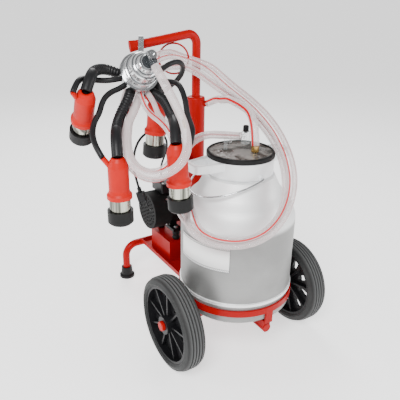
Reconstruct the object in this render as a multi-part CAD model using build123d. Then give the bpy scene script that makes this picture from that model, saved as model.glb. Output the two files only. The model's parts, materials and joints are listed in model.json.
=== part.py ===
from build123d import *
import math
import os

# Mobile bucket milking machine: wheeled frame, milk can, vacuum set and a four-cup cluster.
# Frame: origin on the floor under the axle's middle, X along the axle, +Y to the motor, +Z up.
# Millimetres throughout.

os.makedirs("parts", exist_ok=True)

# ---------------------------------------------------------------- driving dimensions
FIT = 0.05          # radial running fit
GAP = 0.3           # gap between pieces that don't touch
SHEET = 3.0         # frame sheet thickness

wheel_radius = 136.0
wheel_width = 62.0
wheel_centre_x = 218.0
tyre_bore_radius = 111.0
tyre_shoulder = 17.0
tread_groove_depth = 3.0
tread_groove_width = 4.0
rim_web = 9.0
rim_slots = 9
axle_radius = 10.0
axle_sleeve_radius = 13.0
axle_sleeve_half = 172.0

can_y = 9.0
can_base_z = 153.0
can_radius = 160.0
can_wall = 2.0
can_bead_z = 214.0
can_bead = 3.0
can_shoulder_z = 421.0
can_neck_radius = 82.0
can_rim_z = 590.0

collar_radius = 90.0
collar_low_z = 537.0
handle_reach = 158.0
handle_low_z = 570.0
handle_height = 22.0
trunnion_z = 554.0
trunnion_radius = 7.5
trunnion_length = 9.0
bail_wire_radius = 2.5
bail_reach = 152.0
bail_half_width = 103.6
bail_droop = 17.7

seal_height = 13.0
seal_radius = 92.0
lid_glass_radius = 84.7
lid_wall = 3.0
vacuum_port_xy = (15.0, -32.0)
elbow_xy = (38.0, 40.0)
breather_xy = (-38.0, 26.0)

spine_radius = 13.0
spine_z = 127.0
spine_front_y = -150.0
tray_half_x = 87.0
tray_front_y = 188.0
tray_back_y = 465.0
tray_lip = 14.0
leg_radius = 13.0
leg_y = 489.0
leg_half = 138.0
leg_bend = 42.0
foot_height = 40.0
foot_radius = 27.0

hoop_low_z = 184.0
hoop_height = 18.0
hoop_thickness = 5.0
tab_width = 24.0
tab_inward = 48.0

tank_y = 237.0
tank_radius = 27.0
tank_wall = 2.0
tank_top_z = 705.0
handle_tube_radius = 12.5
handle_tube_wall = 2.0
bar_start_z = 884.0
bar_end = (-206.0, 855.0)
hook_ring_radius = 41.0
hook_ring_centre = (-74.0, 237.0, 816.9)

motor_y = 350.0
motor_z = 318.0
motor_radius = 60.0
motor_left_x = -60.0
motor_right_x = 76.0
cowl_radius = 62.5
cowl_left_x = -115.0
shaft_radius = 7.5
bearing_radius = 17.5
bearing_width = 11.0
stator_bore = 35.5
pump_radius = 52.0
pump_length = 72.0
pump_chamber_radius = 39.0
pump_offset = 3.5
motor_box_half_x = 68.0
motor_box_front_y = 282.0
motor_box_back_y = 415.0
motor_box_top_z = 215.0
motor_foot_z = 247.0
motor_foot_x = (-35.0, 55.0)
motor_foot_y = 52.0

claw_centre = (-227.0, 142.0, 803.0)
claw_axis = (0.0, -0.848, 0.530)
claw_radius = 50.0
claw_back = 42.0

cup_length = 165.0
mouthpiece_length = 35.0
cup_band_length = 30.0
sleeve_radius = 24.5

tray_low_z = spine_z + spine_radius
tray_floor_z = tray_low_z + SHEET
axle_z = wheel_radius
crossbar_top_z = can_base_z - 4.0


def save(shape, name):
    """Write one node."""
    export_step(shape, "parts/" + name + ".step")


def group(solids):
    """Separate solids kept in one node."""
    return Compound(children=list(solids))


def rod(start, end, radius, bore=0.0):
    """Round bar or tube between two points."""
    a, b = Vector(*start), Vector(*end)
    base = Plane(origin=a, z_dir=b - a)
    length = (b - a).length
    solid = extrude(base * Circle(radius), length)
    if bore > 0:
        solid -= extrude(base * Circle(bore), length)
    return solid


def ring(outer, inner, low, high):
    """Round ring about Z at the origin."""
    return Pos(0, 0, low) * (
        extrude(Circle(outer), high - low) - extrude(Circle(inner), high - low)
    )


def box(x, y, z):
    """Block given by its low and high values along each axis."""
    size = (x[1] - x[0], y[1] - y[0], z[1] - z[0])
    middle = ((x[0] + x[1]) / 2, (y[0] + y[1]) / 2, (z[0] + z[1]) / 2)
    return Pos(*middle) * Box(*size)


def turned(points, x=0.0, y=0.0):
    """Solid of revolution about the vertical through (x, y) from (radius, height) points."""
    face = make_face(Plane.XZ * Polyline(*points, close=True))
    return Pos(x, y, 0) * revolve(face, Axis.Z)


def on_x(solid, x, y, z):
    """Turn a piece made about Z so that its axis is +X, and place it."""
    return Pos(x, y, z) * Rot(0, 90, 0) * solid


def cord_solid(name, points, diameter):
    """Round cord along straight runs joined by tangent arcs as large as the runs allow."""
    vectors = [Vector(*p) for p in points]
    radii = []
    for before, here, after in zip(vectors, vectors[1:], vectors[2:]):
        first, second = here - before, after - here
        half_turn = math.radians(first.get_angle(second)) / 2
        radii.append(0.45 * min(first.length, second.length) / math.tan(half_turn))
    path = FilletPolyline(*points, radius=radii)
    start = Plane(origin=path @ 0, z_dir=path % 0)
    solid = sweep(start * Circle(diameter / 2), path=path)
    length = path.length
    area = math.pi * diameter**2 / 4
    print(
        f"{name}: length {length:.0f}, radii {min(radii):.0f} to {max(radii):.0f},"
        f" volume ratio {solid.volume / (area * length):.4f}"
    )
    save(solid, name)
    return solid


# ---------------------------------------------------------------- wheels
def make_tyre():
    half = wheel_width / 2
    face = make_face(
        Plane.XZ
        * Polyline(
            (tyre_bore_radius, -half + 5),
            (tyre_bore_radius + 6, -half),
            (wheel_radius - tyre_shoulder, -half),
            (wheel_radius - tyre_shoulder * 0.3, -half + tyre_shoulder * 0.3),
            (wheel_radius, -half + tyre_shoulder),
            (wheel_radius, half - tyre_shoulder),
            (wheel_radius - tyre_shoulder * 0.3, half - tyre_shoulder * 0.3),
            (wheel_radius - tyre_shoulder, half),
            (tyre_bore_radius + 6, half),
            (tyre_bore_radius, half - 5),
            close=True,
        )
    )
    tyre = revolve(face, Axis.Z)
    pitch = 9.0
    for k in range(4):
        z = (k - 1.5) * pitch
        tyre -= ring(
            wheel_radius + 1,
            wheel_radius - tread_groove_depth,
            z - tread_groove_width / 2,
            z + tread_groove_width / 2,
        )
    return tyre


def make_rim():
    half = wheel_width / 2
    outer = tyre_bore_radius - FIT
    rim = ring(outer, outer - 7, -half + 6, half - 6)
    rim += ring(outer - 5, 24, -rim_web / 2, rim_web / 2)
    rim += ring(26, axle_radius + FIT, -half + 1, half - 1)
    rim -= extrude(Circle(axle_radius + FIT), half, both=True)
    step = 360 / rim_slots
    for k in range(rim_slots):
        slot = extrude(SlotOverall(46, 17), rim_web, both=True)
        rim -= Rot(0, 0, k * step) * Pos(72, 0, 0) * slot
        rib = box((24, outer - 5), (-2.5, 2.5), (-half + 14, half - 14))
        rim += Rot(0, 0, (k + 0.5) * step) * rib
    return rim


for side, sign in (("left", -1), ("right", 1)):
    save(on_x(make_tyre(), sign * wheel_centre_x, 0, axle_z), "tyre_" + side)
    save(on_x(make_rim(), sign * wheel_centre_x, 0, axle_z), "rim_" + side)

hub_half = wheel_width / 2 - 1
axle_end = wheel_centre_x + hub_half + 5
washer_low = axle_sleeve_half + GAP
washer_high = wheel_centre_x - hub_half - GAP
axle_pieces = [rod((-axle_end, 0, axle_z), (axle_end, 0, axle_z), axle_radius)]
caps = []
for sign in (-1, 1):
    spacer = ring(16, axle_radius + FIT, washer_low, washer_high)
    if sign < 0:
        spacer = Rot(180, 0, 0) * spacer
    axle_pieces.append(on_x(spacer, 0, 0, axle_z))
    cap = extrude(Circle(14), 9) - extrude(Circle(axle_radius + FIT), 5 - GAP)
    cap = fillet(cap.faces().sort_by(Axis.Z)[-1].edges(), 3)
    cap = Pos(0, 0, wheel_centre_x + hub_half + GAP) * cap
    if sign < 0:
        cap = Rot(180, 0, 0) * cap
    caps.append(on_x(cap, 0, 0, axle_z))
save(group(axle_pieces), "axle")
save(group(caps), "hub_caps")

# ---------------------------------------------------------------- welded frame
leg_front_y = leg_y - leg_radius
spine = rod((0, spine_front_y, spine_z), (0, leg_front_y, spine_z), spine_radius)
sleeve = rod((-axle_sleeve_half, 0, axle_z), (axle_sleeve_half, 0, axle_z), axle_sleeve_radius)
crossbar_y = can_y + can_radius * 0.5
crossbar = box(
    (-125, 125), (crossbar_y - 12, crossbar_y + 12), (spine_z + 5, crossbar_top_z)
)
front_pad = box(
    (-tab_width / 2, tab_width / 2),
    (spine_front_y + 2, spine_front_y + 2 + tab_inward),
    (spine_z + 5, crossbar_top_z),
)
spine = spine + sleeve + crossbar + front_pad
spine -= rod(
    (-axle_sleeve_half - 1, 0, axle_z), (axle_sleeve_half + 1, 0, axle_z), axle_radius + FIT
)
spine -= box((-200, 200), (-200, 200), (crossbar_top_z, can_base_z + 50))
spine -= box((-200, 200), (tray_front_y - 1, tray_back_y), (tray_low_z, tray_low_z + 20))
save(spine, "frame_spine")

tray = box((-tray_half_x, tray_half_x), (tray_front_y, tray_back_y), (tray_low_z, tray_low_z + tray_lip))
tray -= box(
    (-tray_half_x + SHEET, tray_half_x - SHEET),
    (tray_front_y + SHEET, tray_back_y - SHEET),
    (tray_floor_z, tray_low_z + tray_lip + 1),
)
save(tray, "base_plate")

leg_path = FilletPolyline(
    (-leg_half, leg_y, foot_height - 32),
    (-leg_half, leg_y, spine_z),
    (leg_half, leg_y, spine_z),
    (leg_half, leg_y, foot_height - 32),
    radius=leg_bend,
)
leg_start = Plane(origin=leg_path @ 0, z_dir=leg_path % 0)
save(sweep(leg_start * Circle(leg_radius), path=leg_path), "rear_leg")

feet = []
for sign in (-1, 1):
    foot = turned(
        [(0, 0), (foot_radius, 0), (foot_radius, 8), (21, 12), (19, foot_height), (0, foot_height)],
        sign * leg_half,
        leg_y,
    )
    pocket = Pos(sign * leg_half, leg_y, foot_height - 32) * extrude(Circle(leg_radius + FIT), 40)
    feet.append(foot - pocket)
save(group(feet), "leg_feet")

hoop_inner = can_radius + GAP
hoop = Pos(0, can_y, 0) * ring(
    hoop_inner + hoop_thickness, hoop_inner, hoop_low_z, hoop_low_z + hoop_height
)
for angle in (-90, 30, 150):
    tab = box(
        (hoop_inner, hoop_inner + hoop_thickness),
        (-tab_width / 2, tab_width / 2),
        (crossbar_top_z, hoop_low_z + hoop_height),
    )
    tab += box(
        (hoop_inner - tab_inward, hoop_inner + hoop_thickness),
        (-tab_width / 2, tab_width / 2),
        (crossbar_top_z, can_base_z),
    )
    hoop += Pos(0, can_y, 0) * Rot(0, 0, angle) * tab
save(hoop, "can_hoop")

# ---------------------------------------------------------------- vacuum tank and push handle
nozzle_start = (26.0, 214.0, 686.0)
suction_start = (26.0, 262.0, 440.0)
tank_axis_low = (0, tank_y, tray_floor_z)
tank = rod(tank_axis_low, (0, tank_y, tank_top_z), tank_radius)
tank = fillet(tank.faces().sort_by(Axis.Z)[-1].edges(), 6)
tank += rod((0, tank_y, 677), nozzle_start, 8)
tank += rod((0, tank_y, 443), suction_start, 8)
tank -= rod(
    (0, tank_y, tray_floor_z + tank_wall),
    (0, tank_y, tank_top_z - tank_wall),
    tank_radius - tank_wall,
)
tank -= rod((0, tank_y, 677), nozzle_start, 5)
tank -= rod((0, tank_y, 443), suction_start, 5)
save(tank, "vacuum_tank")

handle_path = FilletPolyline(
    (0, tank_y, tank_top_z),
    (0, tank_y, bar_start_z),
    (-172, tank_y, 859.5),
    radius=28,
)
handle_foot = Plane(origin=handle_path @ 0, z_dir=handle_path % 0)
handle_profile = Circle(handle_tube_radius) - Circle(handle_tube_radius - handle_tube_wall)
handle = sweep(handle_foot * handle_profile, path=handle_path)
bar_tip = Plane(origin=handle_path @ 1, z_dir=handle_path % 1)
flat_end = Plane(origin=(bar_end[0], tank_y, bar_end[1]), z_dir=handle_path % 1)
grip = loft([bar_tip * Circle(handle_tube_radius), flat_end * Ellipse(15.5, 6)])
save(handle + grip, "handle_tube")

ring_plane = Plane(origin=hook_ring_centre, x_dir=(0.86, -0.5, 0), z_dir=(0.5, 0.86, 0))
hose_ring = ring_plane.location * Torus(hook_ring_radius, 2.5)
save(hose_ring, "hose_ring")

pulsator_centre = (-52.0, 229.0)
pulsator_low = 474.0
pulsator_high = 534.0
pulse_ports = ((-62.0, 205.0, 495.0), (-62.0, 205.0, 512.0))
pulsator = Pos(pulsator_centre[0], pulsator_centre[1], pulsator_low) * extrude(
    Circle(21), pulsator_high - pulsator_low
)
for port in pulse_ports:
    pulsator += rod((pulsator_centre[0], pulsator_centre[1], port[2] - 2), port, 6)
clamp = Pos(0, tank_y, 494) * ring(tank_radius + 4, tank_radius + FIT, 0, 22)
clamp += box((-36, -tank_radius - 1), (tank_y - 14, tank_y + 6), (494, 516))
clamp -= rod((0, tank_y, 480), (0, tank_y, 530), tank_radius + FIT)
clamp -= Pos(pulsator_centre[0], pulsator_centre[1], 480) * extrude(Circle(21 + FIT), 60)
save(group([pulsator, clamp]), "pulsator")

regulator_z = 615.0
regulator = rod((0, tank_y + tank_radius + FIT, regulator_z), (0, tank_y + 66, regulator_z), 9)
regulator += rod((0, tank_y + 44, regulator_z - 14), (0, tank_y + 44, regulator_z + 26), 15)
save(regulator, "vacuum_regulator")

# ---------------------------------------------------------------- motor and vacuum pump
motor_box = box(
    (-motor_box_half_x, motor_box_half_x),
    (motor_box_front_y, motor_box_back_y),
    (tray_floor_z, motor_box_top_z),
)
motor_box -= box(
    (-motor_box_half_x + SHEET, motor_box_half_x - SHEET),
    (motor_box_front_y + SHEET, motor_box_back_y - SHEET),
    (tray_floor_z - 1, motor_box_top_z - SHEET),
)
foot_points = [(x, motor_y + s * motor_foot_y) for x in motor_foot_x for s in (-1, 1)]
for x, y in foot_points:
    motor_box -= Pos(x, y, motor_box_top_z - SHEET - 1) * extrude(Circle(4.4), SHEET + 2)
save(motor_box, "motor_box")

save(
    group(
        turned(
            [
                (4.4, motor_box_top_z),
                (11, motor_box_top_z),
                (13, motor_box_top_z + 8),
                (10, (motor_box_top_z + motor_foot_z) / 2),
                (13, motor_foot_z - 8),
                (11, motor_foot_z),
                (4.4, motor_foot_z),
            ],
            x,
            y,
        )
        for x, y in foot_points
    ),
    "isolators",
)
foot_thickness = 10.0
bolts = []
for x, y in foot_points:
    bolt = Pos(x, y, motor_box_top_z - SHEET - 12) * extrude(
        Circle(4), foot_thickness + motor_foot_z - motor_box_top_z + SHEET + 12
    )
    head = Pos(x, y, motor_foot_z + foot_thickness) * extrude(RegularPolygon(7.5, 6), 6)
    nut = Pos(x, y, motor_box_top_z - SHEET - 8) * extrude(RegularPolygon(7.5, 6), 8)
    bolts.append(bolt + head + nut)

housing_inner = motor_radius - 7
housing = on_x(ring(motor_radius, housing_inner, 0, motor_right_x - motor_left_x), motor_left_x, motor_y, motor_z)
for x in motor_foot_x:
    housing += box(
        (x - 16, x + 16),
        (motor_y - motor_foot_y - 11, motor_y + motor_foot_y + 11),
        (motor_foot_z, motor_foot_z + foot_thickness),
    )
    housing += box((x - 13, x + 13), (motor_y - 34, motor_y + 34), (motor_foot_z, motor_z - 40))
housing -= on_x(extrude(Circle(housing_inner), 200), motor_left_x - 1, motor_y, motor_z)
shields = []
seats = (motor_left_x, motor_right_x - 14)
for x in seats:
    shield = ring(housing_inner - FIT, bearing_radius + FIT, 0, 14)
    shields.append(on_x(shield, x, motor_y, motor_z))
for x, y in foot_points:
    housing -= Pos(x, y, motor_foot_z - 1) * extrude(Circle(4.4), foot_thickness + 2)
save(group([housing] + shields), "motor_housing")
bearing_x = [x + 1.5 for x in seats]
save(
    group(on_x(ring(bearing_radius, shaft_radius + FIT, 0, bearing_width), x, motor_y, motor_z) for x in bearing_x),
    "motor_bearings",
)
stator_half = 34.0
stator_x = (motor_left_x + motor_right_x) / 2
save(
    on_x(ring(housing_inner - FIT, stator_bore, -stator_half, stator_half), stator_x, motor_y, motor_z),
    "stator",
)

cowl_depth = motor_left_x - 1 - cowl_left_x
cowl = ring(cowl_radius, cowl_radius - 1.5, 0, cowl_depth + 6)
cowl += extrude(Circle(cowl_radius), 1.5)
for count, radius in ((1, 0), (6, 12), (12, 24), (18, 36), (24, 48)):
    for k in range(count):
        angle = 2 * math.pi * k / count
        hole = Pos(radius * math.cos(angle), radius * math.sin(angle), -1) * extrude(Circle(3.2), 4)
        cowl -= hole
save(on_x(cowl, cowl_left_x, motor_y, motor_z), "fan_cowl")

pump_left_x = motor_right_x + GAP
pump = extrude(Circle(pump_radius), pump_length)
pump -= Pos(-pump_offset, 0, 8) * extrude(Circle(pump_chamber_radius), pump_length)
pump -= extrude(Circle(shaft_radius + FIT), 10)
pump = on_x(pump, pump_left_x, motor_y, motor_z)
pump_inlet = (pump_left_x + pump_length / 2, motor_y, motor_z + pump_radius + 16)
pump += rod((pump_inlet[0], motor_y, motor_z + pump_radius - 3), pump_inlet, 9)
pump += rod(
    (pump_inlet[0], motor_y, motor_z - pump_radius + 3),
    (pump_inlet[0], motor_y, motor_z - pump_radius - 22),
    9,
)
pump_right_x = pump_left_x + pump_length
cover = extrude(Circle(pump_radius), 9)
cover = fillet(cover.faces().sort_by(Axis.Z)[-1].edges(), 3)
cover_bolts = []
for k in range(6):
    angle = math.radians(60 * k + 30)
    head = Pos(45.5 * math.cos(angle), 45.5 * math.sin(angle), 9) * extrude(RegularPolygon(4.5, 6), 4)
    cover_bolts.append(on_x(head, pump_right_x, motor_y, motor_z))
pump_cover = on_x(cover, pump_right_x, motor_y, motor_z)
save(group([pump, pump_cover]), "pump_casing")
save(group(bolts + cover_bolts), "bolts")

rotor_radius = pump_chamber_radius - pump_offset - GAP
shaft_left_x = cowl_left_x + 12
rotor_left_x = pump_left_x + 8 + GAP
rotor_right_x = pump_right_x - GAP
shaft = rod((shaft_left_x, motor_y, motor_z), (rotor_right_x, motor_y, motor_z), shaft_radius)
shaft += on_x(
    extrude(Circle(stator_bore - GAP), stator_half, both=True), stator_x, motor_y, motor_z
)
save(shaft, "rotor_shaft")
fan = ring(15, shaft_radius + FIT, 0, 24)
for k in range(9):
    blade = box((14, 52), (-1.5, 1.5), (2, 22))
    fan += Rot(0, 0, 40 * k) * blade
fan -= extrude(Circle(shaft_radius + FIT), 30)
save(on_x(fan, shaft_left_x + 6, motor_y, motor_z), "fan")
rotor = ring(rotor_radius, shaft_radius + FIT, 0, rotor_right_x - rotor_left_x)
vanes = []
for k in range(4):
    slot = box((rotor_radius - 20, rotor_radius + 5), (-2.2, 2.2), (-1, 90))
    rotor -= Rot(0, 0, 90 * k) * slot
    vane = box((rotor_radius - 19.5, rotor_radius - 0.5), (-2.1, 2.1), (0, rotor_right_x - rotor_left_x))
    vanes.append(on_x(Rot(0, 0, 90 * k) * vane, rotor_left_x, motor_y, motor_z))
save(group([on_x(rotor, rotor_left_x, motor_y, motor_z)] + vanes), "pump_rotor")

terminal_x = (-78.0, 6.0)
terminal_z = (motor_z + cowl_radius + 1, 413.0)
gland_x = -60.0
terminal = box(terminal_x, (motor_y - 36, motor_y + 36), terminal_z)
terminal = fillet(terminal.edges().filter_by(Axis.Z), 6)
terminal += box((-52, -2), (motor_y - 25, motor_y + 25), (motor_z + motor_radius - 8, terminal_z[0]))
terminal -= on_x(extrude(Circle(motor_radius + FIT), 200), motor_left_x - 1, motor_y, motor_z)
gland = rod((gland_x, motor_y, terminal_z[1]), (gland_x, motor_y, terminal_z[1] + 11), 7.5)
save(group([terminal, gland]), "terminal_box")

# ---------------------------------------------------------------- milk can
def can_outline(inset):
    """Side of the can from its base to its rim, moved inwards by the inset."""
    base = can_base_z + inset
    low = 12.0
    r = can_radius - inset
    neck = can_neck_radius - inset
    lines = Line((0, base), (r - low, base))
    lines += Line((r - low, base), (r, base + low))
    lines += Line((r, base + low), (r, can_shoulder_z))
    lines += Spline(
        (r, can_shoulder_z),
        (r - 5.5, 444),
        (r - 19, 474),
        (r - 39, 494.5),
        (95 - inset, 541),
        tangents=((0, 1), (-0.5, 1)),
    )
    lines += Line((95 - inset, 541), (neck, 547))
    lines += Line((neck, 547), (neck, can_rim_z))
    lines += Line((neck, can_rim_z), (0, can_rim_z))
    lines += Line((0, can_rim_z), (0, base))
    return revolve(make_face(Plane.XZ * lines), Axis.Z)


can = can_outline(0)
can += ring(can_radius + can_bead, can_radius - 1, can_bead_z, can_bead_z + 8)
can -= can_outline(can_wall)
can -= ring(can_neck_radius - can_wall, 0.01, can_rim_z - 20, can_rim_z + 1)
save(Pos(0, can_y, 0) * can, "can_body")

collar = ring(collar_radius, can_neck_radius + FIT, collar_low_z + 11, can_rim_z + 2)
handle_half_root = 46.0
handle_half_tip = 26.0
outer_loop = Polyline(
    (-60, handle_half_root),
    (-handle_reach, handle_half_tip),
    (-handle_reach, -handle_half_tip),
    (-60, -handle_half_root),
    close=True,
)
inner_loop = Polyline(
    (-50, handle_half_root - 11),
    (-handle_reach + 12, handle_half_tip - 10),
    (-handle_reach + 12, -handle_half_tip + 10),
    (-50, -handle_half_root + 11),
    close=True,
)
loop = extrude(make_face(outer_loop), handle_height)
loop = fillet(loop.edges().filter_by(Axis.Z).sort_by(Axis.X)[:2], 16)
hole = extrude(make_face(inner_loop), handle_height + 2)
hole = fillet(hole.edges().filter_by(Axis.Z).sort_by(Axis.X)[:2], 9)
loop -= Pos(0, 0, -1) * hole
loop = fillet(loop.edges().filter_by(Plane.XY).group_by(Axis.Z)[-1], 3)
loop = Pos(0, 0, handle_low_z) * loop
for turn in (0, 180):
    collar += Rot(0, 0, turn) * loop
collar -= Pos(0, 0, collar_low_z) * extrude(Circle(can_neck_radius + FIT), 100)
for sign in (-1, 1):
    boss = rod(
        (0, sign * (collar_radius - 4), trunnion_z),
        (0, sign * (collar_radius + trunnion_length), trunnion_z),
        trunnion_radius,
    )
    boss -= rod(
        (0, sign * (collar_radius - 2), trunnion_z),
        (0, sign * (collar_radius + 20), trunnion_z),
        bail_wire_radius + FIT,
    )
    collar += boss
    collar -= rod(
        (0, sign * (collar_radius - 2), trunnion_z),
        (0, sign * (collar_radius + 20), trunnion_z),
        bail_wire_radius + FIT,
    )
save(Pos(0, can_y, 0) * collar, "can_collar")

leg_in = 6.0
pin = collar_radius - 1
bail_path = FilletPolyline(
    (0, -pin, 0), (0, -bail_half_width, 0), (-leg_in - 8, -bail_half_width, 0), radius=5
)
curve = EllipticalCenterArc(
    (-leg_in - 8, 0, 0), bail_reach - leg_in - 8, bail_half_width, start_angle=90, arc_size=180
)
back_path = FilletPolyline(
    (-leg_in - 8, bail_half_width, 0), (0, bail_half_width, 0), (0, pin, 0), radius=5
)
bail_wire = Wire(bail_path.edges() + curve.edges() + back_path.edges())
bail_start = Plane(origin=(0, -pin, 0), z_dir=(0, -1, 0))
bail = sweep(bail_start * Circle(bail_wire_radius), path=bail_wire)
save(Pos(0, can_y, trunnion_z) * Rot(0, -bail_droop, 0) * bail, "bail")

# ---------------------------------------------------------------- lid
seat_z = can_rim_z + 2
seal_top = seat_z + seal_height
seal = turned(
    [
        (lid_glass_radius - 6, seat_z),
        (seal_radius, seat_z),
        (seal_radius, seal_top - 3),
        (seal_radius - 3, seal_top),
        (lid_glass_radius + 0.3, seal_top),
        (lid_glass_radius + 0.3, seat_z + 6),
        (lid_glass_radius - 6, seat_z + 6),
    ],
    0,
    can_y,
)
save(seal, "lid_seal")
lid_low = seat_z + 6
lid = turned(
    [
        (0, lid_low + 7),
        (50, lid_low + 5),
        (74, lid_low),
        (lid_glass_radius, lid_low),
        (lid_glass_radius, lid_low + lid_wall + 1),
        (75, lid_low + lid_wall + 1),
        (51, lid_low + lid_wall + 6),
        (0, lid_low + lid_wall + 8),
    ],
    0,
    can_y,
)
lid_top = lid_low + lid_wall + 8
port_bores = ((vacuum_port_xy, 6.0), (elbow_xy, 7.0), (breather_xy, 4.0))
for (x, y), radius in port_bores:
    lid -= Pos(x, y, lid_low - 5) * extrude(Circle(radius), 30)
save(lid, "lid_glass")

vacuum_port_top = 624.0
port = rod((*vacuum_port_xy, lid_top), (*vacuum_port_xy, vacuum_port_top), 10)
port += rod((*vacuum_port_xy, lid_low - 30), (*vacuum_port_xy, lid_top + 1), 6 - FIT)
port -= rod((*vacuum_port_xy, lid_low - 31), (*vacuum_port_xy, vacuum_port_top + 1), 4)
save(port, "vacuum_port")
cage = ring(22, 20, -55, -25) + ring(22, 0.01, -55, -52) + ring(22, 6, -28, -25)
for turn in (0, 90):
    cage -= Rot(0, 0, turn) * box((-30, 30), (-9, 9), (-50, -30))
save(Pos(*vacuum_port_xy, lid_low) * cage, "float_cage")

milk_inlet = (20.0, 38.0, 632.0)
elbow_top = milk_inlet[2] + 10
elbow = rod((*elbow_xy, lid_top), (*elbow_xy, elbow_top), 12)
elbow += rod((elbow_xy[0], elbow_xy[1], milk_inlet[2]), milk_inlet, 9.5)
elbow += rod((*elbow_xy, lid_low - 26), (*elbow_xy, lid_top + 1), 7 - FIT)
elbow -= rod((*elbow_xy, lid_low - 27), (*elbow_xy, elbow_top + 1), 4.5)
elbow -= rod((elbow_xy[0], elbow_xy[1], milk_inlet[2]), milk_inlet, 4.5)
knob = rod((*elbow_xy, elbow_top + GAP), (*elbow_xy, elbow_top + 17), 8)
knob = fillet(knob.faces().sort_by(Axis.Z)[-1].edges(), 3)
knob += rod((*elbow_xy, elbow_top - 4), (*elbow_xy, elbow_top + 1), 4.5 - FIT)
save(knob, "lid_knob")
breather = rod((*breather_xy, lid_top - 1), (*breather_xy, 634), 4.5)
breather += rod((*breather_xy, 634), (breather_xy[0] + 14, breather_xy[1] - 6, 628), 4.5)
breather += rod((*breather_xy, lid_low - 6), (*breather_xy, lid_top), 4 - FIT)
breather += Pos(*breather_xy, 634) * Sphere(4.5)
save(group([elbow, breather]), "lid_spouts")

# ---------------------------------------------------------------- milking claw
claw_plane = Plane(origin=claw_centre, x_dir=(1, 0, 0), z_dir=claw_axis)
claw_at = claw_plane.location


def claw_rod(angle, near, far, z_near, z_far, radius):
    """Nipple on the claw, given by its angle, its two radii and its two heights."""
    a = math.radians(angle)
    start = (near * math.cos(a), near * math.sin(a), z_near)
    end = (far * math.cos(a), far * math.sin(a), z_far)
    return rod(start, end, radius)


bowl_outer = [(0, 62), (18, 62), (22, 58), (24, 50), (33, 46), (37, 40), (38, 26), (43, 22), (44, 6), (44, 0)]
bowl_inner = [(41, 0), (41, 5), (40, 20), (35, 24), (34, 38), (31, 43), (21, 47), (19, 56), (17, 59), (0, 59)]
bowl = turned(bowl_outer + bowl_inner)
bowl += rod((7, 22, 70), (9, -14.5, 70), 11)
bowl -= rod((3, 8, 66), (3, 8, 90), 4)
save(claw_at * bowl, "claw_bowl")
save(claw_at * ring(claw_radius, 44 + GAP, -3, 6), "claw_ring")
manifold = turned([(0, -claw_back), (30, -claw_back), (37, -36), (42, -8), (44, -GAP), (0, -GAP)])
for angle in (160, 238, 308, 28):
    manifold += claw_rod(angle, 30, 43, -30, -30, 10)
for angle in (186, 210, 334, 4):
    manifold += claw_rod(angle, 30, 43, -13, -13, 6)
for angle in (264, 286):
    manifold += claw_rod(angle, 30, 47, -13, -13, 6)
manifold -= turned([(0, -22), (16, -22), (28, -6), (30, 1), (0, 1)])
save(claw_at * manifold, "claw_manifold")
valve = rod((3, 8, 70), (3, 8, 82), 4 - FIT)
valve += Pos(3, 8, 0) * ring(11, 5.5, 81.3, 88)
valve += Pos(3, 8, 0) * ring(8, 0.01, 81.3, 84)
save(claw_at * valve, "claw_valve_knob")

hook_dir = Vector(33, 65, 0).normalized()
hook_plane = Plane(origin=(-205, 172, 0), x_dir=hook_dir, z_dir=hook_dir.cross(Vector(0, 0, 1)))
hook_path = FilletPolyline((-2, 848), (66, 880), (86, 878), (93, 859), radius=5)
hook_path = hook_plane.location * hook_path
hook_start = Plane(origin=hook_path @ 0, x_dir=hook_plane.z_dir, z_dir=hook_path % 0)
save(sweep(hook_start * Rectangle(14, 3), path=hook_path), "claw_hook")

# ---------------------------------------------------------------- teat cups
cups = {
    1: ((-373, 155, 709), (-0.067, -0.56, 0.826)),
    2: ((-351, 11, 559), (0, 0, 1)),
    3: ((-174, 161, 654), (0.068, -0.043, 1)),
    4: ((-227, -53, 589), (-0.059, 0.038, 1)),
}
nipple_tips = {
    1: ((-409, 111, 777), (-0.53, -0.45, 0.72)),
    2: ((-380, 29, 640), (-0.52, 0.33, 0.79)),
    3: ((-183, 193, 733), (-0.24, 0.68, 0.69)),
    4: ((-205, -67, 673), (0.4, -0.25, 0.88)),
}
sleeves = []
bands = []
liners = []
half_cup = cup_length / 2
band_low = mouthpiece_length
band_high = mouthpiece_length + cup_band_length
for number, (middle, axis) in cups.items():
    base = Plane(origin=Vector(*middle) - Vector(*axis).normalized() * half_cup, z_dir=axis)
    at = base.location
    liner = turned(
        [
            (12, 0),
            (26, 0),
            (31, 5),
            (31, band_low),
            (22.5, band_low),
            (12, band_low + 8),
        ]
    )
    liners.append(at * liner)
    band = turned(
        [(22.8, band_low + GAP), (25.2, band_low + GAP), (25.2, band_high), (22.8, band_high)]
    )
    bands.append(at * band)
    sleeve = turned(
        [
            (22.8, band_high + GAP),
            (30, band_high + GAP),
            (30, band_high + 10),
            (26, band_high + 15),
            (sleeve_radius, band_high + 22),
            (sleeve_radius, cup_length - 22),
            (20, cup_length - 8),
            (15, cup_length),
            (10, cup_length),
            (10, cup_length - 10),
            (16, cup_length - 25),
            (20, band_high + 20),
        ]
    )
    tip, along = nipple_tips[number]
    tip = Vector(*tip)
    nipple = rod(tip - Vector(*along) * 30, tip, 6.5)
    nipple -= at * extrude(Circle(sleeve_radius - 3), cup_length)
    sleeves.append(at * sleeve + nipple)
save(group(liners), "cup_mouthpieces")
save(group(bands), "cup_bands")
save(group(sleeves), "cup_sleeves")

# ---------------------------------------------------------------- tubes, hoses and cord
# formed rubber tubes from the claw into the cups
milk_tube_1_points = [
    (-266, 175, 799), (-291, 178, 810), (-317, 170, 815), (-338, 154, 814), (-353, 133, 810),
    (-367, 117, 797), (-379, 109, 777),
]
cord_solid("milk_tube_1", milk_tube_1_points, 27)

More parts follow.
